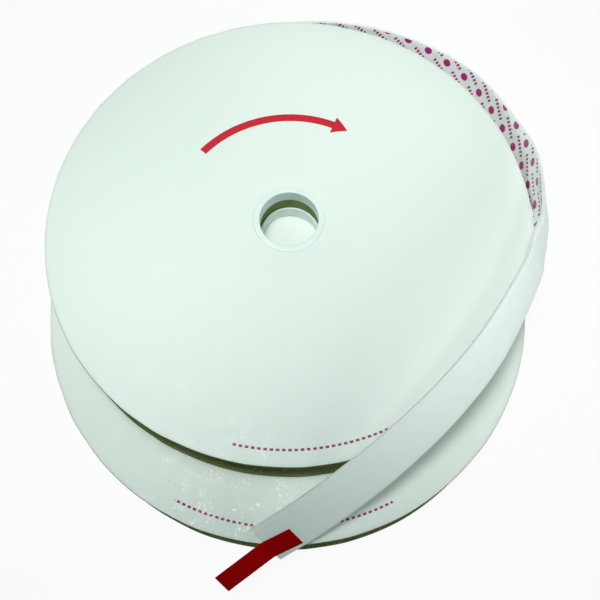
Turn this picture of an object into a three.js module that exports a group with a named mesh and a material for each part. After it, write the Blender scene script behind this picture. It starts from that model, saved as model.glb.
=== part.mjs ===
import * as THREE from 'three';

// A pair of hook and loop tape reels, one lying on the other, with the upper reel's tape pulled off.
// Millimetres and degrees, +Z up. The origin is on the floor, midway between the two hub axes.

// Flanges: greyboard discs with a printed paper facing glued on the outside.
const flangeRadius = 150;
const boardThickness = 2.6;
const boardRimBevel = 0.3;
const facingThickness = 0.3;
const facingTrim = 0.3;
const glueGap = 0.1;

// Hub bushes: a lipped plastic bush pushed in through each flange, into the core tube.
const boreRadius = 18.2;
const bushWall = 1.5;
const bushLipOverhang = 2.5;
const bushLipThickness = 0.7;
const bushLipRound = 0.3;
const bushMouthRound = 0.4;
const bushSpigotLength = 9.9;
const bushLeadIn = 0.6;

// Core tube of wound chipboard.
const coreWall = 6;

// Tape: woven hook or loop tape on adhesive, with a release liner.
const tapeWidth = 25;
const tapeSideGap = 1.1;
const tapeThickness = 1.7;
const linerThickness = 0.25;

// Winding: the outer turns are wound, over a plain pack of the turns inside them.
const rimMargin = 10.5;
const outerTurns = 3;
const turnGap = 0.5;
const stepsPerTurn = 36;
const lowerTapeEndAngle = 250;
const windingEndAngle = 135;

// Clearances of round pieces in each other, and of a lip on the board that it clamps.
const turnedGap = 0.3;
const seatGap = 0.1;

// Stack: the upper hub lies this far behind and to the right of the lower one, lip on lip.
const stackShiftX = 2.4;
const stackShiftY = 37.3;
const stackGap = 0.3;

// Free tail of the upper reel's tape, from where it leaves the winding to its cut end.
// turn: angle round the hub, out: distance outside the flange's rim, rise: height over the reel's
// middle plane, lean: how far the top edge tips in over the reel. All are for the middle of the tape.
const tailRoute = [
  { turn: 116, out: -7.5, rise: 0, lean: 0 },
  { turn: 97, out: -0.6, rise: -0.1, lean: -3.5 },
  { turn: 78, out: 4.4, rise: -0.6, lean: -9.5 },
  { turn: 59, out: 7.4, rise: 0.7, lean: -16 },
  { turn: 40, out: 8.8, rise: 4.9, lean: -20.9 },
  { turn: 20, out: 5.5, rise: 13.3, lean: -19.6 },
  { turn: 8, out: 3.5, rise: 22.7, lean: -10.3 },
  { turn: -4, out: 2.9, rise: 34, lean: 19.5 },
  { turn: -12, out: -2.1, rise: 38.3, lean: 28.1 },
  { turn: -20, out: -4.4, rise: 42.7, lean: 32 },
  { turn: -40, out: -6.9, rise: 46.8, lean: 44 },
  { turn: -56, out: -3, rise: 40.7, lean: 51 },
  { turn: -70, out: 5.4, rise: 29.4, lean: 54.5 },
  { turn: -80, out: 15.1, rise: 16.3, lean: 56 },
  { turn: -88, out: 25.7, rise: 1.7, lean: 56 },
  { turn: -95, out: 37.2, rise: -15.4, lean: 56 },
];
const tailSteps = 72;

// End tab: a strip of red film stuck near the tape's low edge, a little askew, with a free pull end.
const tabWidth = 11.5;
const tabEdgeMargin = 1.9;
const tabSkew = 4.6;
const tabThickness = 0.25;
const tabStuckLength = 22;
const tabFreeLength = 33;
const tabFoldGap = 0.4;
const tabFoldAngle = 20;
const tabSteps = 6;

const flangeSegments = 72;
const hubSegments = 48;

// Sizes that follow from those above.
const windingSpace = tapeWidth + 2 * tapeSideGap;
const boardTop = windingSpace / 2 + boardThickness;
const facingTop = boardTop + glueGap + facingThickness;
const lipTop = boardTop + seatGap + bushLipThickness;
const spigotRadius = boreRadius + bushWall;
const lipRadius = spigotRadius + bushLipOverhang;
const coreInner = spigotRadius + turnedGap;
const coreOuter = coreInner + coreWall;
const woundThickness = tapeThickness + glueGap + linerThickness;
const turnPitch = woundThickness + turnGap;
const windingRadius = flangeRadius - rimMargin;
const lastTurnRadius = windingRadius - woundThickness / 2;
const firstTurnRadius = lastTurnRadius - outerTurns * turnPitch;
const packRadius = firstTurnRadius - woundThickness / 2 - turnGap;
const reelHeight = 2 * lipTop;
const tabOuter = woundThickness / 2 + glueGap + tabThickness;

const rad = THREE.MathUtils.degToRad;

const finish = {
  board: new THREE.MeshStandardMaterial({ color: 0x6f6a4a, roughness: 0.95, metalness: 0 }),
  facing: new THREE.MeshStandardMaterial({ color: 0xe3f0e8, roughness: 0.35, metalness: 0 }),
  core: new THREE.MeshStandardMaterial({ color: 0x80754f, roughness: 0.95, metalness: 0 }),
  bush: new THREE.MeshStandardMaterial({ color: 0xdfeae6, roughness: 0.4, metalness: 0 }),
  tape: new THREE.MeshStandardMaterial({ color: 0xe8f1ef, roughness: 0.9, metalness: 0 }),
  liner: new THREE.MeshStandardMaterial({ color: 0xc9d3cc, roughness: 0.5, metalness: 0 }),
  tab: new THREE.MeshStandardMaterial({ color: 0x860102, roughness: 0.6, metalness: 0 }),
};

function named(name, geometry, material) {
  const mesh = new THREE.Mesh(geometry, material);
  mesh.name = name;
  return mesh;
}

// Turns a closed profile of [radius, height] points about the Z axis.
function turned(profile, segments) {
  const points = profile.map(([radius, height]) => new THREE.Vector2(radius, height));
  points.push(points[0].clone());
  const geometry = new THREE.LatheGeometry(points, segments);
  geometry.rotateX(Math.PI / 2);
  return geometry;
}

function ring(inner, outer, low, high, segments) {
  return turned([[inner, low], [outer, low], [outer, high], [inner, high]], segments);
}

// The pieces of one side of a reel, with heights measured outwards from the reel's middle plane.
function flangeBoard() {
  const hole = spigotRadius + turnedGap;
  const low = windingSpace / 2;
  return turned([
    [hole, low],
    [flangeRadius - boardRimBevel, low],
    [flangeRadius, low + boardRimBevel],
    [flangeRadius, boardTop - boardRimBevel],
    [flangeRadius - boardRimBevel, boardTop],
    [hole, boardTop],
  ], flangeSegments);
}

function flangeFacing() {
  const low = boardTop + glueGap;
  return ring(lipRadius + turnedGap, flangeRadius - facingTrim, low, facingTop, flangeSegments);
}

function hubBush() {
  const lipUnder = boardTop + seatGap;
  const spigotEnd = lipUnder - bushSpigotLength;
  return turned([
    [boreRadius, spigotEnd],
    [spigotRadius - bushLeadIn, spigotEnd],
    [spigotRadius, spigotEnd + bushLeadIn],
    [spigotRadius, lipUnder],
    [lipRadius, lipUnder],
    [lipRadius, lipTop - bushLipRound],
    [lipRadius - bushLipRound, lipTop],
    [boreRadius + bushMouthRound, lipTop],
    [boreRadius, lipTop - bushMouthRound],
  ], hubSegments);
}

// A flat strip swept through frames of a centre, a direction across it and an outward normal.
function strip(frames, low, high, inner, outer) {
  const positions = [];
  const corner = new THREE.Vector3();
  for (const { centre, across, normal } of frames) {
    for (const [side, face] of [[low, inner], [low, outer], [high, outer], [high, inner]]) {
      corner.copy(centre).addScaledVector(across, side).addScaledVector(normal, face);
      positions.push(corner.x, corner.y, corner.z);
    }
  }
  const faces = [0, 3, 2, 0, 2, 1];
  for (let i = 0; i < frames.length - 1; i += 1) {
    for (let k = 0; k < 4; k += 1) {
      const here = 4 * i + k;
      const beside = 4 * i + ((k + 1) % 4);
      // Both faces of the tape are split along the same diagonal, so that layers stay parallel.
      if (k < 2) {
        faces.push(here, beside, beside + 4, here, beside + 4, here + 4);
      } else {
        faces.push(here, beside, here + 4, beside, beside + 4, here + 4);
      }
    }
  }
  const last = 4 * (frames.length - 1);
  faces.push(last, last + 1, last + 2, last, last + 2, last + 3);
  const geometry = new THREE.BufferGeometry();
  geometry.setAttribute('position', new THREE.Float32BufferAttribute(positions, 3));
  geometry.setIndex(faces);
  geometry.computeVertexNormals();
  return geometry;
}

// The outer turns spiral out clockwise, seen from above, and end at the given angle.
function windingFrames(endAngle) {
  const frames = [];
  const steps = outerTurns * stepsPerTurn;
  for (let i = 0; i <= steps; i += 1) {
    const share = i / steps;
    const angle = rad(endAngle) + 2 * Math.PI * outerTurns * (1 - share);
    const radius = THREE.MathUtils.lerp(firstTurnRadius, lastTurnRadius, share);
    const normal = new THREE.Vector3(Math.cos(angle), Math.sin(angle), 0);
    const centre = normal.clone().multiplyScalar(radius);
    frames.push({ centre, across: new THREE.Vector3(0, 0, 1), normal });
  }
  return frames;
}

// The least gap between points of the winding that are more than half a turn apart along it.
function leastGap(frames) {
  let least = Infinity;
  const halfTurn = Math.floor(stepsPerTurn / 2);
  for (let i = 0; i < frames.length; i += 1) {
    for (let j = i + halfTurn; j < frames.length; j += 1) {
      least = Math.min(least, frames[i].centre.distanceTo(frames[j].centre) - woundThickness);
    }
  }
  return least;
}

// One reel about the centre of its hub, with the hub's axis on Z.
function reel(prefix, tapeEndAngle) {
  const group = new THREE.Group();
  for (const [side, tilt] of [['top', 0], ['bottom', Math.PI]]) {
    const half = new THREE.Group();
    half.rotation.x = tilt;
    half.add(named(`${prefix}_${side}_board`, flangeBoard(), finish.board));
    half.add(named(`${prefix}_${side}_facing`, flangeFacing(), finish.facing));
    half.add(named(`${prefix}_${side}_bush`, hubBush(), finish.bush));
    group.add(half);
  }
  const coreHalf = windingSpace / 2 - seatGap;
  const tapeHalf = tapeWidth / 2;
  const core = ring(coreInner, coreOuter, -coreHalf, coreHalf, hubSegments);
  const pack = ring(coreOuter + turnedGap, packRadius, -tapeHalf, tapeHalf, flangeSegments);
  const frames = windingFrames(tapeEndAngle);
  const turns = strip(frames, -tapeHalf, tapeHalf, -woundThickness / 2, woundThickness / 2);
  console.log(`${prefix}_outer_turns: least gap to itself ${leastGap(frames).toFixed(2)} mm`);
  group.add(named(`${prefix}_core_tube`, core, finish.core));
  group.add(named(`${prefix}_tape_pack`, pack, finish.tape));
  group.add(named(`${prefix}_outer_turns`, turns, finish.tape));
  return group;
}

// The tail's centre line and lean, about the centre of the upper hub.
function tailPath() {
  const startTurn = windingEndAngle - THREE.MathUtils.radToDeg(turnedGap / lastTurnRadius);
  const leaving = { turn: startTurn, out: lastTurnRadius - flangeRadius, rise: 0, lean: 0 };
  const route = [leaving, ...tailRoute];
  const centres = route.map(({ turn, out, rise }) => {
    const radius = flangeRadius + out;
    return new THREE.Vector3(radius * Math.cos(rad(turn)), radius * Math.sin(rad(turn)), rise);
  });
  const leans = route.map(({ lean }) => new THREE.Vector3(lean, 0, 0));
  return {
    line: new THREE.CatmullRomCurve3(centres, false, 'catmullrom'),
    leaning: new THREE.CatmullRomCurve3(leans, false, 'catmullrom'),
  };
}

// The tape's frame at a share of the tail's length.
function tailFrame({ line, leaning }, share) {
  const at = line.getUtoTmapping(share);
  const lean = rad(leaning.getPoint(at).x);
  const along = line.getTangent(at);
  const outward = new THREE.Vector3(0, 0, 1).cross(along).normalize();
  const upward = along.clone().cross(outward);
  const across = upward.clone().multiplyScalar(Math.cos(lean)).addScaledVector(outward, -Math.sin(lean));
  const normal = outward.clone().multiplyScalar(Math.cos(lean)).addScaledVector(upward, Math.sin(lean));
  return { centre: line.getPoint(at), along, across, normal };
}

// The stuck part of the tab drifts in from the tape's low edge as it nears the tape's end.
function stuckTabFrames(frames) {
  return frames.map((frame) => {
    const drift = frame.centre.distanceTo(frames[0].centre) * Math.tan(rad(tabSkew));
    return { ...frame, centre: frame.centre.clone().addScaledVector(frame.across, drift) };
  });
}

// The free pull end of the tab: a straight strip, folded up a little about its line on the tape's end.
function freeTabFrames({ centre, along, across, normal }) {
  const fold = rad(tabFoldAngle);
  const hinge = centre.clone().addScaledVector(normal, tabOuter);
  const ahead = along.clone().multiplyScalar(Math.cos(fold)).addScaledVector(normal, Math.sin(fold));
  const face = normal.clone().multiplyScalar(Math.cos(fold)).addScaledVector(along, -Math.sin(fold));
  ahead.addScaledVector(across, Math.tan(rad(tabSkew)));
  return [tabFoldGap, tabFoldGap + tabFreeLength].map((distance) => ({
    centre: hinge.clone().addScaledVector(ahead, distance),
    across,
    normal: face,
  }));
}

function tail() {
  const group = new THREE.Group();
  const path = tailPath();
  const tabShare = 1 - tabStuckLength / path.line.getLength();
  const frames = [];
  for (let i = 0; i <= tailSteps; i += 1) {
    frames.push(tailFrame(path, (tabShare * i) / tailSteps));
  }
  for (let i = 1; i <= tabSteps; i += 1) {
    frames.push(tailFrame(path, THREE.MathUtils.lerp(tabShare, 1, i / tabSteps)));
  }
  const half = tapeWidth / 2;
  const tapeOuter = woundThickness / 2;
  const tabLow = tabEdgeMargin - half;
  const tabHigh = tabLow + tabWidth;
  const stuckFrames = stuckTabFrames(frames.slice(tailSteps));
  const freeFrames = freeTabFrames(stuckFrames.at(-1));
  const fabric = strip(frames, -half, half, tapeOuter - tapeThickness, tapeOuter);
  const liner = strip(frames, -half, half, -tapeOuter, linerThickness - tapeOuter);
  const stuck = strip(stuckFrames, tabLow, tabHigh, tabOuter - tabThickness, tabOuter);
  const free = strip(freeFrames, tabLow, tabHigh, -tabThickness, 0);
  group.add(named('tail_tape', fabric, finish.tape));
  group.add(named('tail_liner', liner, finish.liner));
  group.add(named('end_tab_stuck', stuck, finish.tab));
  group.add(named('end_tab_free', free, finish.tab));
  console.log(`tail: ${path.line.getLength().toFixed(0)} mm long`);
  return group;
}

const lowerReel = reel('lower', lowerTapeEndAngle);
lowerReel.position.set(-stackShiftX / 2, -stackShiftY / 2, lipTop);

const upperReel = reel('upper', windingEndAngle);
upperReel.position.set(stackShiftX / 2, stackShiftY / 2, reelHeight + stackGap + lipTop);

const freeTail = tail();
freeTail.position.copy(upperReel.position);

const part = new THREE.Group();
part.add(lowerReel, upperReel, freeTail);

export default part;
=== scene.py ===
import math
from collections import namedtuple

import bmesh
import bpy
from mathutils import Matrix, Vector, noise


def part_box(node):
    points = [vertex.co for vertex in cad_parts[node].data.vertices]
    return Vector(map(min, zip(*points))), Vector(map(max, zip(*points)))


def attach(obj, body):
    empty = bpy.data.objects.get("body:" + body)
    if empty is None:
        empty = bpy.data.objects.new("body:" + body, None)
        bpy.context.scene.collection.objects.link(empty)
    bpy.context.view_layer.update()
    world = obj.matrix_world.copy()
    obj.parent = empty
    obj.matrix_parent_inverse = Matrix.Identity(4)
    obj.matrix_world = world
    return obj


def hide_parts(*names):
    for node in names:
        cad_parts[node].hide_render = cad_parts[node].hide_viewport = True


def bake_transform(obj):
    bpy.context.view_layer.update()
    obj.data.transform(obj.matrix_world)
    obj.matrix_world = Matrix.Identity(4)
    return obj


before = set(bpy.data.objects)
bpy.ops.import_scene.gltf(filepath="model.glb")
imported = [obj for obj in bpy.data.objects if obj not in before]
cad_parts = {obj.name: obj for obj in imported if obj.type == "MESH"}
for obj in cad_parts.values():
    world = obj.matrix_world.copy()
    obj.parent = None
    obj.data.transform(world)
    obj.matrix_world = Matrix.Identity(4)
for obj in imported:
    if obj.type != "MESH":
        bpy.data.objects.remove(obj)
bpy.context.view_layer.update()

# A pair of hook and loop tape reels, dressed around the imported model.
# Metres, watts and degrees, +Z up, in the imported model's frame.

# Camera, fitted to the photograph's square frame: its lens, in pixels and millimetres, and where it stands
# from the middle of the upper disc's face.
PHOTO_SIDE = 600
FOCAL_PIXELS = 850
OPTICAL_ROW = 240.5
SENSOR_WIDTH = 36
CAMERA_ELEVATION = 66.02
CAMERA_ROLL = -1.23
CAMERA_DISTANCE = 0.5238
CAMERA_RIGHT = 0.0068
CAMERA_UP = -0.0133

# Soft round lamps: place, point that the lamp faces, power, radius and angle of its cone.
SPOTS = {
    "key": ((-0.1, -0.12, 1.2), (0, 0.12, 0.05), 42, 0.12, 40),
    "left_spot": ((-0.184, 0.028, 0.7), (-0.18, -0.06, 0.05), 2.6, 0.08, 40),
    "front_spot": ((-0.33, -0.22, 0.65), (-0.16, -0.1, 0.04), 2, 0.08, 36),
    "right_spot": ((0.35, -0.1, 0.8), (0.17, -0.06, 0.05), 3, 0.08, 34),
    "back_spot": ((-0.3, 0.1, 0.7), (0.1, 0.17, 0.07), 4, 0.08, 32),
}

# Soft square lamp on the right: place, point that it faces, power and side.
SIDE_PANEL = ((0.55, -0.25, 0.25), (0.1, -0.1, 0.04), 0.98, 0.3)

# Weak light from all round, and a floor that is mostly plain white where it is seen.
WORLD_STRENGTH = 0.08
WORLD_TINT = (0.08, 1, 0.8, 1)
FLOOR_SIDE = 6
FLOOR_ROUGHNESS = 0.9
FLOOR_WHITENESS = 0.92

REELS = ("lower", "upper")
UP = Vector((0, 0, 1))

# Rims of the discs, which wander in and out as a die-cut edge does: how far, in how fine waves, how far apart
# the two reels lie in the noise, and how fast the wander fades inwards.
RIM_WANDER = 0.0004
RIM_WAVES = 9
RIM_NOISE_SPREAD = 40
RIM_FADE = 8
BOARD_EDGE = 0.0006
FACING_EDGE = 0.00012

# Hub and its clearances. The facing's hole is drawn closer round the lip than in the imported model.
BORE_RADIUS = 0.0182
BUSH_WALL = 0.0015
BUSH_LEAD_IN = 0.0006
BUSH_LEAD_IN_ROUND = 0.0001
BUSH_ROUND = 0.0003
BUSH_MOUTH_ROUND = 0.0005
CORE_EDGE = 0.0005
CORE_STRIP = 0.024
TURNED_GAP = 0.0003
SEAT_GAP = 0.0001
FACING_GAP = 0.00006

# Tape and its liner.
TAPE_THICKNESS = 0.0017
LINER_THICKNESS = 0.00025
GLUE_GAP = 0.0001
THIN_EDGE = 0.00004

# Winding, as one spiral: margin inside the rim, distance between turns, and turn round the hub where it ends.
RIM_MARGIN = 0.0105
WOUND_PITCH = 0.0023
WOUND_EDGE = 0.0003
WINDING_ENDS = {"lower": 250, "upper": 135}

# Free tape: a woven base with plain edges, and a pile between them on its outer face.
BASE_THICKNESS = 0.0014
BASE_ROUND = 0.0003
BACK_ROUND = 0.00003
PLAIN_EDGE = 0.0014
PILE_SHOULDER = 0.0004
PILE_FOOT_ROUND = 0.0002
PILE_TOP_ROUND = 0.0003

# The free tape's edges pucker: they lift out of its face and tuck in from its side, by this much at most and
# with this noise along them.
PUCKER = 0.00016
PUCKER_WIDTH = 2 * PLAIN_EDGE
LIFT_NOISE = {"waves": 170, "row": 9, "layer": 0}
TUCK_NOISE = {"waves": 260, "row": 5, "layer": 3}

# Free tail: turn round the hub, distance outside the flange's rim, height over the reel's middle plane
# and lean of the top edge in over the reel, all for the middle of the tape.
TAIL_ROUTE = [
    (116, -0.0075, 0, 0),
    (97, -0.0006, -0.0001, -3.5),
    (78, 0.0044, -0.0006, -9.5),
    (59, 0.0074, 0.0007, -16),
    (40, 0.0088, 0.0049, -20.9),
    (20, 0.0055, 0.0133, -19.6),
    (8, 0.0035, 0.0227, -10.3),
    (-4, 0.0029, 0.034, 19.5),
    (-12, -0.0021, 0.0383, 28.1),
    (-20, -0.0044, 0.0427, 32),
    (-40, -0.0069, 0.0468, 44),
    (-56, -0.003, 0.0407, 51),
    (-70, 0.0054, 0.0294, 54.5),
    (-80, 0.0151, 0.0163, 56),
    (-88, 0.0257, 0.0017, 56),
    (-95, 0.0372, -0.0154, 56),
]

# Where the tail twists over the rim its low edge curls in towards the disc, and past it the tape's face is
# crowned: turn round the hub, curl and crown.
TAIL_FORM = [
    (8, 0, 0),
    (5, 0.0006, 0),
    (3, 0.0019, 0),
    (2, 0.0025, 0),
    (1.2, 0.0034, 0),
    (0, 0.005, 0.0001),
    (-2, 0.0066, 0.0002),
    (-3.5, 0.0058, 0.0002),
    (-5, 0.0038, 0.0003),
    (-7, 0.0015, 0.0004),
    (-9.5, 0.0002, 0.0005),
    (-13, 0, 0.0007),
    (-20, 0, 0.001),
    (-45, 0, 0.0012),
    (-70, 0, 0.001),
    (-82, 0, 0.0005),
    (-92, 0, 0),
]

# End tab, stuck near the tape's low edge and folded up past its end. The film starts to bend a little before
# the fold line.
TAB_WIDTH = 0.0115
TAB_EDGE_MARGIN = 0.0019
TAB_SKEW = 4.6
TAB_THICKNESS = 0.00025
TAB_STUCK_LENGTH = 0.022
TAB_FREE_LENGTH = 0.0334
TAB_FOLD = 20
TAB_FOLD_LENGTH = 0.003

# Turns round the hub where the broken line printed along each rim starts and ends.
DASHED_ARCS = {"lower": (-118.3, -65.2), "upper": (-104.0, -62.0)}

# How much smoother the flecks on each reel's facings are than the paper. The upper reel is less rubbed.
FLECK_GLOSS = {"lower": 6.2, "upper": 5.0}

# How fine the meshes are: steps in a turn, distances between points, steps in which the tail's route is
# measured, and the angle that shows as an edge.
RIM_SEGMENTS = 288
HUB_SEGMENTS = 144
WINDING_STEPS = 72
DISC_SPACING = 0.02
SECTION_SPACING = 0.0025
TAIL_SPACING = 0.003
TAB_SPACING = 0.001
TAIL_FINE_STEPS = 4000
SHARP_ANGLE = 32


def srgb(red, green, blue):
    """A colour written as on a screen, from 0 to 255, as a shader takes it."""
    shares = [value / 255 for value in (red, green, blue)]
    return (*[s / 12.92 if s <= 0.04045 else ((s + 0.055) / 1.055) ** 2.4 for s in shares], 1)


# Colours
PAPER = srgb(233, 242, 235)
PAPER_SHADE = srgb(229, 239, 231)
PAPER_WORN = srgb(212, 222, 212)
PRINT_RED = srgb(190, 0, 30)
PRINT_PLUM = srgb(150, 30, 100)
BOARD = srgb(126, 132, 86)
BOARD_DARK = srgb(94, 100, 60)
BOARD_FLECK = srgb(176, 172, 134)
CORE = srgb(166, 182, 122)
CORE_DARK = srgb(126, 144, 90)
BUSH = srgb(231, 244, 240)
BUSH_SHADE = srgb(226, 240, 236)
# The tape's white, and its darker end, which gives random clouds and painted shade in the hollows of the
# weave.
FABRIC = srgb(249, 253, 250)
FABRIC_MOTTLE_AND_SHADE = srgb(238, 245, 242)
LINER = srgb(249, 252, 250)
LINER_SHADE = srgb(243, 248, 245)
LINER_PRINT = srgb(178, 14, 126)
# The film's red, and its darker end, which gives random mottle and painted shade in the grooves between the
# ribs.
TAB_RED = srgb(180, 1, 3)
TAB_MOTTLE_AND_SHADE = srgb(154, 0, 1)
FLOOR = srgb(244, 245, 245)
WHITE = (1, 1, 1, 1)


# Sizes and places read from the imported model
def size_of(node):
    low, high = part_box(node)
    return high - low


def middle_of(node):
    low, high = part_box(node)
    return (low + high) / 2


HUBS = {reel: middle_of(f"{reel}_core_tube") for reel in REELS}


def heights_of(node):
    """The heights of a node's two ends over the upper reel's middle plane."""
    return [corner.z - HUBS["upper"].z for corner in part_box(node)]


FLANGE_RADIUS = size_of("upper_top_board").x / 2
FACING_RADIUS = size_of("upper_top_facing").x / 2
LIP_RADIUS = size_of("upper_top_bush").x / 2
CORE_RADIUS = size_of("upper_core_tube").x / 2
TAPE_HALF = size_of("upper_tape_pack").z / 2
BOARD_LOW, BOARD_TOP = heights_of("upper_top_board")
FACING_LOW, FACING_TOP = heights_of("upper_top_facing")
SPIGOT_END, LIP_TOP = heights_of("upper_top_bush")
CORE_LOW, CORE_TOP = heights_of("upper_core_tube")
SPIGOT_RADIUS = BORE_RADIUS + BUSH_WALL
WOUND_THICKNESS = TAPE_THICKNESS + GLUE_GAP + LINER_THICKNESS
LAST_TURN_RADIUS = FLANGE_RADIUS - RIM_MARGIN - WOUND_THICKNESS / 2
FIRST_TURN_RADIUS = CORE_RADIUS + TURNED_GAP + WOUND_THICKNESS / 2
TAPE_OUTER = WOUND_THICKNESS / 2
TAPE_INNER = TAPE_OUTER - TAPE_THICKNESS
TAB_OUTER = TAPE_OUTER + GLUE_GAP + TAB_THICKNESS


# Camera, light and floor
def placed(name, data):
    """A new object in the scene, with that data."""
    thing = bpy.data.objects.new(name, data)
    bpy.context.scene.collection.objects.link(thing)
    return thing


def make_camera():
    """A camera that sees the reels as the photograph does."""
    elevation = math.radians(CAMERA_ELEVATION)
    roll = math.radians(CAMERA_ROLL)
    target = HUBS["upper"] + UP * FACING_TOP
    back = Vector((0, -math.cos(elevation), math.sin(elevation)))
    level = Vector((1, 0, 0))
    upright = back.cross(level)
    right = level * math.cos(roll) + upright * math.sin(roll)
    up = upright * math.cos(roll) - level * math.sin(roll)
    data = bpy.data.cameras.new("camera")
    data.sensor_width = SENSOR_WIDTH
    data.lens = SENSOR_WIDTH * FOCAL_PIXELS / PHOTO_SIDE
    data.shift_y = OPTICAL_ROW / PHOTO_SIDE - 0.5
    camera = placed("camera", data)
    turn = Matrix((right, up, back)).transposed().to_4x4()
    place = target + back * CAMERA_DISTANCE + right * CAMERA_RIGHT + up * CAMERA_UP
    camera.matrix_world = Matrix.Translation(place) @ turn
    bpy.context.scene.camera = camera


def make_lamp(name, kind, place, target, power):
    data = bpy.data.lights.new(name, kind)
    data.energy = power
    lamp = placed(name, data)
    lamp.location = place
    lamp.rotation_euler = (Vector(target) - Vector(place)).to_track_quat("-Z", "Y").to_euler()
    return data


def make_soft_spot(name, place, target, power, radius, cone):
    """A round lamp whose light fades towards the edge of its cone."""
    data = make_lamp(name, "SPOT", place, target, power)
    data.shadow_soft_size = radius
    data.spot_size = math.radians(cone)
    data.spot_blend = 1


def make_panel(name, place, target, power, side):
    """A square lamp with an even soft light."""
    make_lamp(name, "AREA", place, target, power).size = side


def seen_share(tree):
    """One where a ray comes from the camera, from gloss or through glass."""
    path = tree.nodes.new("ShaderNodeLightPath")
    total = path.outputs["Is Camera Ray"]
    for name in ("Is Glossy Ray", "Is Transmission Ray"):
        add = tree.nodes.new("ShaderNodeMath")
        add.operation = "ADD"
        add.use_clamp = True
        tree.links.new(total, add.inputs[0])
        tree.links.new(path.outputs[name], add.inputs[1])
        total = add.outputs[0]
    return total


def show_either(tree, share, shader, other, output):
    """Shows the first shader, and the other one in its place to that share."""
    either = tree.nodes.new("ShaderNodeMixShader")
    tree.links.new(share, either.inputs[0])
    tree.links.new(shader.outputs[0], either.inputs[1])
    tree.links.new(other.outputs[0], either.inputs[2])
    tree.links.new(either.outputs[0], tree.nodes[output].inputs["Surface"])


def make_world():
    """A weak light with a tint, which is plain white where it is seen."""
    world = bpy.data.worlds.new("studio")
    world.use_nodes = True
    tree = world.node_tree
    lit = tree.nodes["Background"]
    lit.inputs["Strength"].default_value = WORLD_STRENGTH
    lit.inputs["Color"].default_value = WORLD_TINT
    seen = tree.nodes.new("ShaderNodeBackground")
    seen.inputs["Color"].default_value = WHITE
    show_either(tree, seen_share(tree), lit, seen, "World Output")
    bpy.context.scene.world = world


def make_floor():
    """A wide matt floor, which is mostly plain white where it is seen."""
    half = FLOOR_SIDE / 2
    corners = [(-half, -half, 0), (half, -half, 0), (half, half, 0), (-half, half, 0)]
    mesh = bpy.data.meshes.new("floor")
    mesh.from_pydata(corners, [], [(0, 1, 2, 3)])
    material = bpy.data.materials.new("floor")
    material.use_nodes = True
    tree = material.node_tree
    matt = tree.nodes["Principled BSDF"]
    matt.inputs["Base Color"].default_value = FLOOR
    matt.inputs["Roughness"].default_value = FLOOR_ROUGHNESS
    white = tree.nodes.new("ShaderNodeEmission")
    share = tree.nodes.new("ShaderNodeMath")
    share.operation = "MULTIPLY"
    share.inputs[1].default_value = FLOOR_WHITENESS
    tree.links.new(seen_share(tree), share.inputs[0])
    show_either(tree, share.outputs[0], matt, white, "Material Output")
    mesh.materials.append(material)
    placed("floor", mesh)


# Outlines and meshes
def rounded(corners, steps=4):
    """A closed outline of (x, y, radius) corners, each turned into an arc of its radius."""
    outline = []
    for i, (x, y, radius) in enumerate(corners):
        corner = Vector((x, y))
        if radius == 0:
            outline.append(corner)
            continue
        before = (Vector(corners[i - 1][:2]) - corner).normalized()
        after = (Vector(corners[(i + 1) % len(corners)][:2]) - corner).normalized()
        half = before.angle(after) / 2
        centre = corner + (before + after).normalized() * (radius / math.sin(half))
        start = corner + before * (radius / math.tan(half)) - centre
        end = corner + after * (radius / math.tan(half)) - centre
        for s in range(steps + 1):
            outline.append(centre + start.lerp(end, s / steps).normalized() * radius)
    return outline


def spaced(outline, most):
    """The outline with points added, so that none of its edges is longer than most."""
    points = []
    for i, point in enumerate(outline):
        after = outline[(i + 1) % len(outline)]
        count = max(1, math.ceil((after - point).length / most))
        points.extend(point.lerp(after, s / count) for s in range(count))
    return points


def band(ring, next_ring, count):
    """Faces between two rings of that many points, from the number of each ring's first point."""
    faces = []
    for k in range(count):
        beside = (k + 1) % count
        faces.append((ring + k, ring + beside, next_ring + beside, next_ring + k))
    return faces


def turned(outline, segments, hub, side=1, wander=0.0):
    """Vertices and faces of a closed outline of (radius, height) turned about a hub's axis.

    The rim may wander a little in and out."""
    vertices = []
    faces = []
    count = len(outline)
    for s in range(segments):
        angle = 2 * math.pi * s / segments
        outward = Vector((math.cos(angle), math.sin(angle), 0))
        drift = wander * noise.noise(outward * RIM_WAVES + hub * RIM_NOISE_SPREAD)
        for radius, height in outline:
            reach = radius + drift * (radius / FLANGE_RADIUS) ** RIM_FADE
            vertices.append(hub + outward * reach + UP * (side * height))
        ahead = (s + 1) % segments
        faces += band(s * count, ahead * count, count)
    return vertices, faces


# A place on the middle line of a strip, its directions across and out of the strip, and how far along it is.
Station = namedtuple("Station", "centre across normal distance")


def tail_form(centre):
    """Curl of the low edge and crown of the face, at a place on the tail's middle line."""
    arm = centre - HUBS["upper"]
    turn = math.degrees(math.atan2(arm.y, arm.x))
    for before, after in zip(TAIL_FORM, TAIL_FORM[1:]):
        if after[0] <= turn <= before[0]:
            share = (before[0] - turn) / (before[0] - after[0])
            return [a + (b - a) * share for a, b in zip(before[1:], after[1:])]
    return 0, 0


def edge_noise(distance, side, waves, row, layer):
    """Smooth noise along the tape, different on its two edges."""
    return noise.noise(Vector((distance * waves, math.copysign(row, side), layer)))


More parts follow.
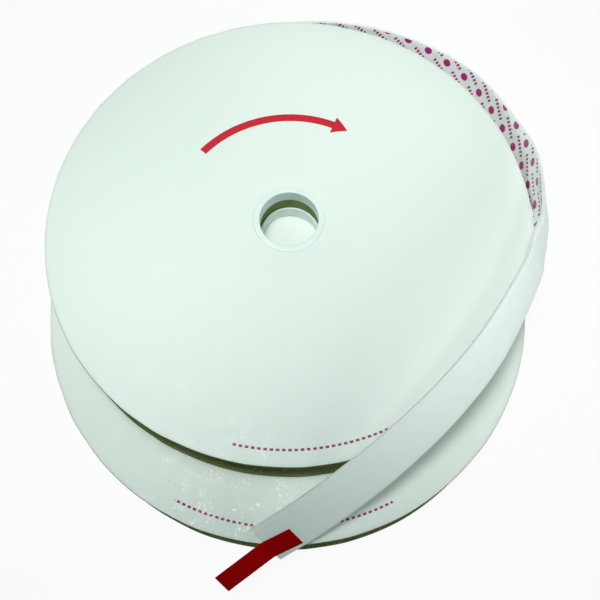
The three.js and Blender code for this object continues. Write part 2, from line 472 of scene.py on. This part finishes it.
def swept(stations, section, free=False):
    """Vertices, faces and tape places (along, across) of a section swept through stations.

    A free tape puckers along its edges, and has the tail's curl and crown."""
    vertices = []
    faces = []
    places = []
    count = len(section)
    pucker = PUCKER if free else 0
    for centre, across, normal, distance in stations:
        curl, crown = tail_form(centre) if free else (0, 0)
        for side, out in section:
            edge = pucker * max(0, abs(side) - TAPE_HALF + PUCKER_WIDTH) / PUCKER_WIDTH
            lift = edge * edge_noise(distance, side, **LIFT_NOISE)
            tuck = edge * (0.5 + edge_noise(distance, side, **TUCK_NOISE)) / 2
            inward = side - math.copysign(tuck, side)
            share = side / TAPE_HALF
            bend = crown * (1 - share ** 2) - curl * min(0, share) ** 2
            vertices.append(centre + across * inward + normal * (out + lift + bend))
            places.append((distance, side))
    last = (len(stations) - 1) * count
    for ring in range(0, last, count):
        faces += band(ring, ring + count, count)
    faces.append(tuple(range(count)))
    faces.append(tuple(range(last, last + count)))
    return vertices, faces, places


def make_piece(name, material, slot, nodes, vertices, faces, places=None):
    """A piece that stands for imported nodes, with its tape places, if it has them, as a map."""
    mesh = bpy.data.meshes.new(name)
    mesh.from_pydata(vertices, [], faces)
    mesh.materials.append(material)
    if places:
        tape_map = mesh.uv_layers.new(name="Tape")
        for loop in mesh.loops:
            tape_map.data[loop.index].uv = places[loop.vertex_index]
    shape = bmesh.new()
    shape.from_mesh(mesh)
    bmesh.ops.recalc_face_normals(shape, faces=shape.faces)
    shape.to_mesh(mesh)
    shape.free()
    mesh.shade_smooth()
    mesh.set_sharp_from_angle(angle=math.radians(SHARP_ANGLE))
    piece = placed(name, mesh)
    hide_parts(*nodes)
    return piece


# Materials
class Graph:
    """A material's nodes, with short ways to add more."""

    # Sockets of a mix node that mixes colours.
    MIX_INPUTS = (0, 6, 7)
    MIX_RESULT = 2

    def __init__(self, name, settings):
        self.material = bpy.data.materials.new(name)
        self.material.use_nodes = True
        self.tree = self.material.node_tree
        self.shader = self.tree.nodes["Principled BSDF"]
        for socket, value in settings.items():
            self.shader.inputs[socket].default_value = value
        self.place = self.add("ShaderNodeTexCoord").outputs["Object"]

    def add(self, kind, **properties):
        node = self.tree.nodes.new(kind)
        for key, value in properties.items():
            setattr(node, key, value)
        return node

    def feed(self, socket, value):
        if isinstance(value, bpy.types.NodeSocket):
            self.tree.links.new(value, socket)
        else:
            socket.default_value = value

    def math(self, operation, *values):
        node = self.add("ShaderNodeMath", operation=operation)
        for socket, value in zip(node.inputs, values):
            self.feed(socket, value)
        return node.outputs[0]

    def product(self, *values):
        total = values[0]
        for value in values[1:]:
            total = self.math("MULTIPLY", total, value)
        return total

    def between(self, value, low, high):
        """One from low to high, and nought outside."""
        return self.math("COMPARE", value, (low + high) / 2, (high - low) / 2)

    def repeat(self, value, length):
        """A share that grows from nought to one in each stretch of that length."""
        return self.math("FRACT", self.math("DIVIDE", value, length))

    def wave(self, value, length):
        """A wave from nought to one, of that length."""
        turns = self.math("MULTIPLY", value, 2 * math.pi / length)
        return self.math("MULTIPLY_ADD", self.math("COSINE", turns), 0.5, 0.5)

    def ramp(self, value, low, high):
        """Nought below low, one above high, and smooth between. High may be the lower number."""
        node = self.add("ShaderNodeMapRange", interpolation_type="SMOOTHSTEP")
        for name, number in (("Value", value), ("From Min", low), ("From Max", high)):
            self.feed(node.inputs[name], number)
        return node.outputs["Result"]

    def mix(self, share, colour, other):
        node = self.add("ShaderNodeMix", data_type="RGBA")
        for socket, value in zip(self.MIX_INPUTS, (share, colour, other)):
            self.feed(node.inputs[socket], value)
        return node.outputs[self.MIX_RESULT]

    def noise(self, scale, detail=2, place=None):
        node = self.add("ShaderNodeTexNoise")
        self.feed(node.inputs["Vector"], place or self.place)
        node.inputs["Scale"].default_value = scale
        node.inputs["Detail"].default_value = detail
        return node.outputs["Fac"]

    def cells(self, scale):
        """Distance from the middle of the nearest of many scattered cells."""
        node = self.add("ShaderNodeTexVoronoi")
        self.feed(node.inputs["Vector"], self.place)
        node.inputs["Scale"].default_value = scale
        return node.outputs["Distance"]

    def stretched(self, *factors):
        """The place, with each of its three parts multiplied by its factor."""
        node = self.add("ShaderNodeVectorMath", operation="MULTIPLY")
        self.feed(node.inputs[0], self.place)
        node.inputs[1].default_value = factors
        return node.outputs[0]

    def parts(self, vector):
        """The three parts of a vector."""
        node = self.add("ShaderNodeSeparateXYZ")
        self.feed(node.inputs[0], vector)
        return node.outputs

    def polar(self, hub):
        """Distance from a hub's axis, and degrees round it."""
        shifted = self.add("ShaderNodeVectorMath", operation="SUBTRACT")
        self.feed(shifted.inputs[0], self.place)
        shifted.inputs[1].default_value = hub
        x, y, _ = self.parts(shifted.outputs[0])
        radius = self.math("SQRT", self.math("ADD", self.product(x, x), self.product(y, y)))
        return radius, self.math("DEGREES", self.math("ARCTAN2", y, x))

    def tape_place(self):
        """The place on the tape, and its parts along and across the tape."""
        both = self.add("ShaderNodeUVMap", uv_map="Tape").outputs[0]
        along, across, _ = self.parts(both)
        return both, along, across

    def colour(self, value):
        self.feed(self.shader.inputs["Base Color"], value)

    def roughness(self, share, low, high):
        self.feed(self.shader.inputs["Roughness"], self.math("MULTIPLY_ADD", share, high - low, low))

    def bump(self, height, depth, strength=1):
        """Adds relief of that depth, over any that is there."""
        node = self.add("ShaderNodeBump")
        node.inputs["Strength"].default_value = strength
        node.inputs["Distance"].default_value = depth
        self.feed(node.inputs["Height"], height)
        socket = self.shader.inputs["Normal"]
        if socket.is_linked:
            self.feed(node.inputs["Normal"], socket.links[0].from_socket)
        self.feed(socket, node.outputs[0])


def arrow(graph, radius, turn):
    """A curved arrow that shows which way the tape unwinds, as a share of ink."""
    middle, half, head = 0.073, 0.0026, 0.0062
    tip, base, end = 58, 66, 138
    off_line = graph.math("ABSOLUTE", graph.math("SUBTRACT", radius, middle))
    in_shaft = graph.product(graph.math("LESS_THAN", off_line, half), graph.between(turn, base, end))
    along_head = graph.math("DIVIDE", graph.math("SUBTRACT", turn, tip), base - tip)
    narrow = graph.math("LESS_THAN", off_line, graph.product(along_head, head))
    in_head = graph.product(narrow, graph.between(turn, tip, base))
    return graph.math("MAXIMUM", in_shaft, in_head)


def rim_dashes(graph, radius, turn, start, end):
    """A broken line along the rim between two turns, as a share of ink."""
    middle, half, period, inked = 0.1405, 0.0007, 1.4, 0.6
    on_line = graph.math("COMPARE", radius, middle, half)
    dash = graph.math("LESS_THAN", graph.repeat(turn, period), inked)
    return graph.product(on_line, graph.between(turn, start, end), dash)


def facing_paper(reel):
    """White printed paper under a matt film, with small glossy flecks that glint towards the light."""
    graph = Graph(f"{reel}_facing", {"Roughness": 0.66})
    worn_width, least_gloss = 0.0022, 0.2
    radius, turn = graph.polar(HUBS[reel])
    paper = graph.mix(graph.noise(scale=11, detail=3), PAPER_SHADE, PAPER)
    near_rim = graph.ramp(radius, FACING_RADIUS - worn_width, FACING_RADIUS)
    paper = graph.mix(graph.product(near_rim, graph.noise(scale=160)), paper, PAPER_WORN)
    paper = graph.mix(rim_dashes(graph, radius, turn, *DASHED_ARCS[reel]), paper, PRINT_PLUM)
    graph.colour(graph.mix(arrow(graph, radius, turn), paper, PRINT_RED))
    flecks = graph.ramp(graph.cells(scale=600), low=0.42, high=0.36)
    patches = graph.ramp(graph.noise(scale=90, detail=3), low=0.5, high=0.54)
    gloss = graph.math("MULTIPLY_ADD", graph.noise(scale=420, detail=1), FLECK_GLOSS[reel], least_gloss)
    glossy = graph.product(flecks, patches, gloss)
    graph.roughness(graph.math("SUBTRACT", graph.noise(scale=60, detail=3), glossy), low=0.62, high=0.7)
    graph.bump(graph.noise(scale=420), depth=0.00003)
    return graph.material


def greyboard():
    """Grey-brown recycled board: mottled, flecked and fibrous, with plies in its cut edge."""
    graph = Graph("greyboard", {"Roughness": 0.95, "Specular IOR Level": 0.1})
    fleck_level, fleck_strength = 0.66, 0.6
    board = graph.mix(graph.noise(scale=120, detail=4), BOARD_DARK, BOARD)
    fibres = graph.noise(scale=1400, place=graph.stretched(1, 0.45, 2))
    fleck = graph.math("GREATER_THAN", fibres, fleck_level)
    graph.colour(graph.mix(graph.product(fleck, fleck_strength), board, BOARD_FLECK))
    graph.bump(graph.noise(scale=900, detail=4), depth=0.00025)
    plies = graph.noise(scale=2600, detail=1, place=graph.stretched(0.02, 0.02, 1))
    graph.bump(plies, depth=0.00012, strength=0.6)
    return graph.material


def core_board(reel):
    """Chipboard tube, wound from strips that leave slanting seams."""
    graph = Graph(f"{reel}_core", {"Roughness": 0.95, "Specular IOR Level": 0.1})
    full_turn, seam_strength = 360, 0.7
    _, turn = graph.polar(HUBS[reel])
    _, _, height = graph.parts(graph.place)
    strips = graph.math("MULTIPLY_ADD", turn, CORE_STRIP / full_turn, height)
    seam = graph.ramp(graph.wave(strips, CORE_STRIP), low=0.985, high=0.998)
    board = graph.mix(graph.noise(scale=170, detail=4), CORE_DARK, CORE)
    graph.colour(graph.mix(graph.product(seam, seam_strength), board, CORE_DARK))
    graph.bump(graph.noise(scale=1100, detail=4), depth=0.0002)
    graph.bump(graph.math("SUBTRACT", 1, seam), depth=0.0003)
    return graph.material


def bush_plastic():
    """Off-white moulded plastic with a soft gloss and faint tool rings."""
    graph = Graph("bush_plastic", {"Roughness": 0.34, "Coat Weight": 0.1, "Coat Roughness": 0.2})
    graph.colour(graph.mix(graph.noise(scale=90), BUSH_SHADE, BUSH))
    graph.roughness(graph.noise(scale=240, detail=3), low=0.28, high=0.42)
    rings = graph.noise(scale=900, detail=1, place=graph.stretched(0.04, 0.04, 1))
    graph.bump(rings, depth=0.00006, strength=0.7)
    return graph.material


def tape_fabric():
    """White woven tape: a soft napped pile in the middle, on faint ribs, and plain twill along both edges."""
    graph = Graph("tape_fabric", {
        "Roughness": 0.9, "Specular IOR Level": 0.2, "Sheen Weight": 0.1, "Sheen Roughness": 0.5})
    rib_length, rib_width, rib_height, twill_length = 0.0012, 0.0024, 0.18, 0.0006
    cloud_share, hollow_shade_share = 0.35, 0.75
    both, along, across = graph.tape_place()
    pile_end = TAPE_HALF - PLAIN_EDGE
    in_pile = graph.ramp(graph.math("ABSOLUTE", across), pile_end, pile_end - PILE_SHOULDER)
    ribs = graph.product(graph.wave(along, rib_length), graph.wave(across, rib_width))
    nap = graph.noise(scale=2300, detail=3, place=both)
    pile = graph.math("MULTIPLY_ADD", ribs, rib_height, nap)
    twill = graph.wave(graph.math("ADD", along, across), twill_length)
    shallow_twill = graph.math("MULTIPLY_ADD", twill, 0.5, 0.5)
    plain = graph.product(graph.math("SUBTRACT", 1, in_pile), shallow_twill)
    height = graph.math("MULTIPLY_ADD", in_pile, pile, plain)
    clouds = graph.noise(scale=140, place=both)
    # The colour darkens where the weave is low, which is painted shade in its hollows, with random clouds on
    # top.
    tone_and_shade = graph.math("MULTIPLY_ADD", clouds, cloud_share, graph.product(height, hollow_shade_share))
    graph.colour(graph.mix(graph.ramp(tone_and_shade, low=0.1, high=0.85), FABRIC_MOTTLE_AND_SHADE, FABRIC))
    graph.bump(height, depth=0.00022, strength=0.7)
    return graph.material


def liner_marks(graph):
    """Slanting rows of plain dots and ticks, as a share of ink."""
    slant, row_pitch, row_length, row_shift = math.radians(-34.3), 0.007, 0.0266, 0.479
    dot_radius, dot_place = 0.0027, 0.00297
    tick_start, tick_end, tick_height, tick_pitch, tick_inked = 0.01, 0.025, 0.0013, 0.0025, 0.58
    _, along, across = graph.tape_place()
    down = graph.math(
        "SUBTRACT", graph.product(across, math.cos(slant)), graph.product(along, math.sin(slant)))
    reading = graph.math(
        "ADD", graph.product(along, math.cos(slant)), graph.product(across, math.sin(slant)))
    row = graph.math("DIVIDE", down, row_pitch)
    from_row = graph.product(graph.math("SUBTRACT", graph.math("FRACT", row), 0.5), row_pitch)
    shift = graph.product(graph.math("FLOOR", row), row_length * row_shift)
    in_row = graph.product(graph.repeat(graph.math("ADD", reading, shift), row_length), row_length)
    from_dot = graph.math("SUBTRACT", in_row, dot_place)
    square = graph.math("ADD", graph.product(from_dot, from_dot), graph.product(from_row, from_row))
    dot = graph.math("LESS_THAN", square, dot_radius ** 2)
    in_ticks = graph.between(in_row, tick_start, tick_end)
    tall = graph.math("COMPARE", from_row, 0, tick_height)
    inked = graph.math("LESS_THAN", graph.repeat(in_row, tick_pitch), tick_inked)
    on_face = graph.math("LESS_THAN", graph.math("ABSOLUTE", across), TAPE_HALF - LINER_THICKNESS)
    return graph.product(on_face, graph.math("MAXIMUM", dot, graph.product(in_ticks, tall, inked)))


def release_liner():
    """Pale siliconed liner, printed all over."""
    graph = Graph("release_liner", {"Roughness": 0.42, "Coat Weight": 0.7, "Coat Roughness": 0.25})
    paper = graph.mix(graph.noise(scale=70, detail=3), LINER_SHADE, LINER)
    graph.colour(graph.mix(liner_marks(graph), paper, LINER_PRINT))
    graph.bump(graph.noise(scale=500), depth=0.00005)
    return graph.material


def tab_film():
    """Dark red film with fine ribs along it."""
    graph = Graph("tab_film", {"Roughness": 0.7, "Specular IOR Level": 0.03})
    rib_width, mottle_share, rib_shade_share = 0.00075, 0.6, 0.4
    both, _, across = graph.tape_place()
    ribs = graph.wave(across, rib_width)
    mottle = graph.noise(scale=400, detail=3, place=both)
    # Painted shade: the film is darker in the grooves between its ribs, and it is also mottled at random.
    tone_and_shade = graph.math("MULTIPLY_ADD", mottle, mottle_share, graph.product(ribs, rib_shade_share))
    graph.colour(graph.mix(tone_and_shade, TAB_MOTTLE_AND_SHADE, TAB_RED))
    graph.bump(ribs, depth=0.00006)
    graph.bump(graph.noise(scale=160), depth=0.0002, strength=0.5)
    return graph.material


# Reels
def board_outline():
    hole = SPIGOT_RADIUS + TURNED_GAP
    corners = [
        (hole, BOARD_LOW, 0),
        (FLANGE_RADIUS, BOARD_LOW, BOARD_EDGE),
        (FLANGE_RADIUS, BOARD_TOP, BOARD_EDGE),
        (hole, BOARD_TOP, 0),
    ]
    return spaced(rounded(corners), DISC_SPACING)


def facing_outline():
    hole = LIP_RADIUS + FACING_GAP
    corners = [
        (hole, FACING_LOW, 0),
        (FACING_RADIUS, FACING_LOW, 0),
        (FACING_RADIUS, FACING_TOP, FACING_EDGE),
        (hole, FACING_TOP, FACING_EDGE),
    ]
    return spaced(rounded(corners), DISC_SPACING)


def bush_outline():
    lip_under = BOARD_TOP + SEAT_GAP
    corners = [
        (BORE_RADIUS, SPIGOT_END, BUSH_ROUND),
        (SPIGOT_RADIUS - BUSH_LEAD_IN, SPIGOT_END, BUSH_LEAD_IN_ROUND),
        (SPIGOT_RADIUS, SPIGOT_END + BUSH_LEAD_IN, BUSH_ROUND),
        (SPIGOT_RADIUS, lip_under, 0),
        (LIP_RADIUS, lip_under, 0),
        (LIP_RADIUS, LIP_TOP, BUSH_ROUND),
        (BORE_RADIUS, LIP_TOP, BUSH_MOUTH_ROUND),
    ]
    return rounded(corners, steps=6)


def core_outline():
    inner = SPIGOT_RADIUS + TURNED_GAP
    corners = [(inner, CORE_LOW), (CORE_RADIUS, CORE_LOW), (CORE_RADIUS, CORE_TOP), (inner, CORE_TOP)]
    return rounded([(*corner, CORE_EDGE) for corner in corners])


def winding_stations(hub, end_turn):
    """Stations of the whole winding, which spirals out clockwise, seen from above."""
    steps = int((LAST_TURN_RADIUS - FIRST_TURN_RADIUS) / WOUND_PITCH * WINDING_STEPS)
    stations = []
    distance = 0
    for i in range(steps + 1):
        turns_left = (steps - i) / WINDING_STEPS
        angle = math.radians(end_turn) + 2 * math.pi * turns_left
        radius = LAST_TURN_RADIUS - turns_left * WOUND_PITCH
        normal = Vector((math.cos(angle), math.sin(angle), 0))
        stations.append(Station(hub + normal * radius, UP, normal, distance))
        distance += 2 * math.pi * radius / WINDING_STEPS
    return stations


def flat_section(low, high, inner, outer, edge):
    """A flat strip's section of (across, out) points, with rounded edges."""
    corners = [(low, inner, edge), (high, inner, edge), (high, outer, edge), (low, outer, edge)]
    return rounded(corners, steps=2)


def make_reel(reel, board, bush, fabric):
    hub = HUBS[reel]
    body = f"{reel}_reel"
    paper = facing_paper(reel)
    for side, up in (("top", 1), ("bottom", -1)):
        name = f"{reel}_{side}"
        card = turned(board_outline(), RIM_SEGMENTS, hub, up, RIM_WANDER)
        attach(make_piece(f"{name}_card", board, "greyboard", [f"{name}_board"], *card), body)
        cover = turned(facing_outline(), RIM_SEGMENTS, hub, up, RIM_WANDER)
        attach(make_piece(f"{name}_cover", paper, "facing_paper", [f"{name}_facing"], *cover), body)
        lipped = turned(bush_outline(), HUB_SEGMENTS, hub, up)
        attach(make_piece(f"{name}_hub", bush, "bush_plastic", [f"{name}_bush"], *lipped), body)
    tube = turned(core_outline(), HUB_SEGMENTS, hub)
    core = core_board(reel)
    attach(make_piece(f"{reel}_core", core, "core_board", [f"{reel}_core_tube"], *tube), body)
    wound_section = flat_section(-TAPE_HALF, TAPE_HALF, -TAPE_OUTER, TAPE_OUTER, WOUND_EDGE)
    wound = swept(winding_stations(hub, WINDING_ENDS[reel]), wound_section)
    wound_nodes = [f"{reel}_tape_pack", f"{reel}_outer_turns"]
    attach(make_piece(f"{reel}_winding", fabric, "tape_fabric", wound_nodes, *wound), body)


# Free tail and its tab
def smooth_curve(points, share):
    """A point on a smooth curve through all the points, and its direction there."""
    spans = len(points) - 1
    i = min(int(share * spans), spans - 1)
    t = share * spans - i
    before = points[i - 1] if i > 0 else points[0] * 2 - points[1]
    after = points[i + 2] if i + 2 <= spans else points[spans] * 2 - points[spans - 1]
    start, end = points[i], points[i + 1]
    leave, arrive = (end - before) / 2, (after - start) / 2
    square = (end - start) * 3 - leave * 2 - arrive
    cube = (start - end) * 2 + leave + arrive
    place = start + leave * t + square * t ** 2 + cube * t ** 3
    return place, leave + square * (2 * t) + cube * (3 * t ** 2)


def tail_stations():
    """Stations along the tail, at even distances, from the winding to the tape's cut end."""
    gap_turn = math.degrees(TURNED_GAP / LAST_TURN_RADIUS)
    leaving = (WINDING_ENDS["upper"] - gap_turn, LAST_TURN_RADIUS - FLANGE_RADIUS, 0, 0)
    centres = []
    leans = []
    for turn, out, rise, lean in [leaving, *TAIL_ROUTE]:
        angle = math.radians(turn)
        radius = FLANGE_RADIUS + out
        centres.append(HUBS["upper"] + Vector((radius * math.cos(angle), radius * math.sin(angle), rise)))
        leans.append(math.radians(lean))
    stations = []
    distance = 0
    here = centres[0]
    for i in range(TAIL_FINE_STEPS + 1):
        centre, along = smooth_curve(centres, i / TAIL_FINE_STEPS)
        distance += (centre - here).length
        here = centre
        if distance < len(stations) * TAIL_SPACING and i < TAIL_FINE_STEPS:
            continue
        lean, _ = smooth_curve(leans, i / TAIL_FINE_STEPS)
        outward = UP.cross(along).normalized()
        upward = along.normalized().cross(outward)
        across = upward * math.cos(lean) - outward * math.sin(lean)
        normal = outward * math.cos(lean) + upward * math.sin(lean)
        stations.append(Station(centre, across, normal, distance))
    return stations


def tape_section():
    """Woven base with plain edges, and the pile standing on it between them."""
    base = TAPE_INNER + BASE_THICKNESS
    pile = TAPE_HALF - PLAIN_EDGE
    shoulder = pile - PILE_SHOULDER
    corners = [
        (-TAPE_HALF, TAPE_INNER, BACK_ROUND),
        (TAPE_HALF, TAPE_INNER, BACK_ROUND),
        (TAPE_HALF, base, BASE_ROUND),
        (pile, base, PILE_FOOT_ROUND),
        (shoulder, TAPE_OUTER, PILE_TOP_ROUND),
        (-shoulder, TAPE_OUTER, PILE_TOP_ROUND),
        (-pile, base, PILE_FOOT_ROUND),
        (-TAPE_HALF, base, BASE_ROUND),
    ]
    return spaced(rounded(corners, steps=3), SECTION_SPACING)


def tab_stations(tape):
    """Stations along the tab: stuck to the tape and drifting in from its edge, then folded up past its end.

    The direction in which the tape runs out at its end comes with them."""
    skew = math.tan(math.radians(TAB_SKEW))
    start = tape[-1].distance - TAB_STUCK_LENGTH
    stations = []
    for centre, across, normal, distance in tape:
        if distance >= start:
            drifted = centre + across * ((distance - start) * skew)
            stations.append(Station(drifted, across, normal, distance))
    centre, across, normal, distance = stations[-1]
    along = normal.cross(across)
    face = centre + normal * TAB_OUTER
    steps = round(TAB_FREE_LENGTH / TAB_SPACING)
    for i in range(1, steps + 1):
        out = i * TAB_FREE_LENGTH / steps
        fold = math.radians(TAB_FOLD) * min(1, out / TAB_FOLD_LENGTH)
        ahead = along * math.cos(fold) + normal * math.sin(fold)
        up = normal * math.cos(fold) - along * math.sin(fold)
        face = face + (ahead + across * skew) * (TAB_FREE_LENGTH / steps)
        stations.append(Station(face - up * TAB_OUTER, across, up, distance + out))
    return stations, along


def make_tail(fabric, liner, film):
    stations = tail_stations()
    woven = swept(stations, tape_section(), free=True)
    tape = make_piece("tail_fabric", fabric, "tape_fabric", ["tail_tape"], *woven)
    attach(tape, "upper_reel")
    liner_section = flat_section(-TAPE_HALF, TAPE_HALF, -TAPE_OUTER, TAPE_INNER, THIN_EDGE)
    backed = swept(stations, spaced(liner_section, SECTION_SPACING), free=True)
    backing = make_piece("tail_backing", liner, "liner_paper", ["tail_liner"], *backed)
    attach(backing, "upper_reel")
    folded, along = tab_stations(stations)
    low = TAB_EDGE_MARGIN - TAPE_HALF
    tab_section = flat_section(low, low + TAB_WIDTH, TAB_OUTER - TAB_THICKNESS, TAB_OUTER, THIN_EDGE)
    strip = swept(folded, spaced(tab_section, SECTION_SPACING))
    tab = make_piece("end_tab_strip", film, "tab_film", ["end_tab_stuck", "end_tab_free"], *strip)
    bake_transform(tab)


make_camera()
make_world()
for lamp_name, spot in SPOTS.items():
    make_soft_spot(lamp_name, *spot)
make_panel("side", *SIDE_PANEL)
make_floor()
white_tape = tape_fabric()
make_tail(white_tape, release_liner(), tab_film())
grey_card = greyboard()
white_plastic = bush_plastic()
for reel_name in REELS:
    make_reel(reel_name, grey_card, white_plastic, white_tape)

bpy.context.scene.view_settings.view_transform = "Standard"
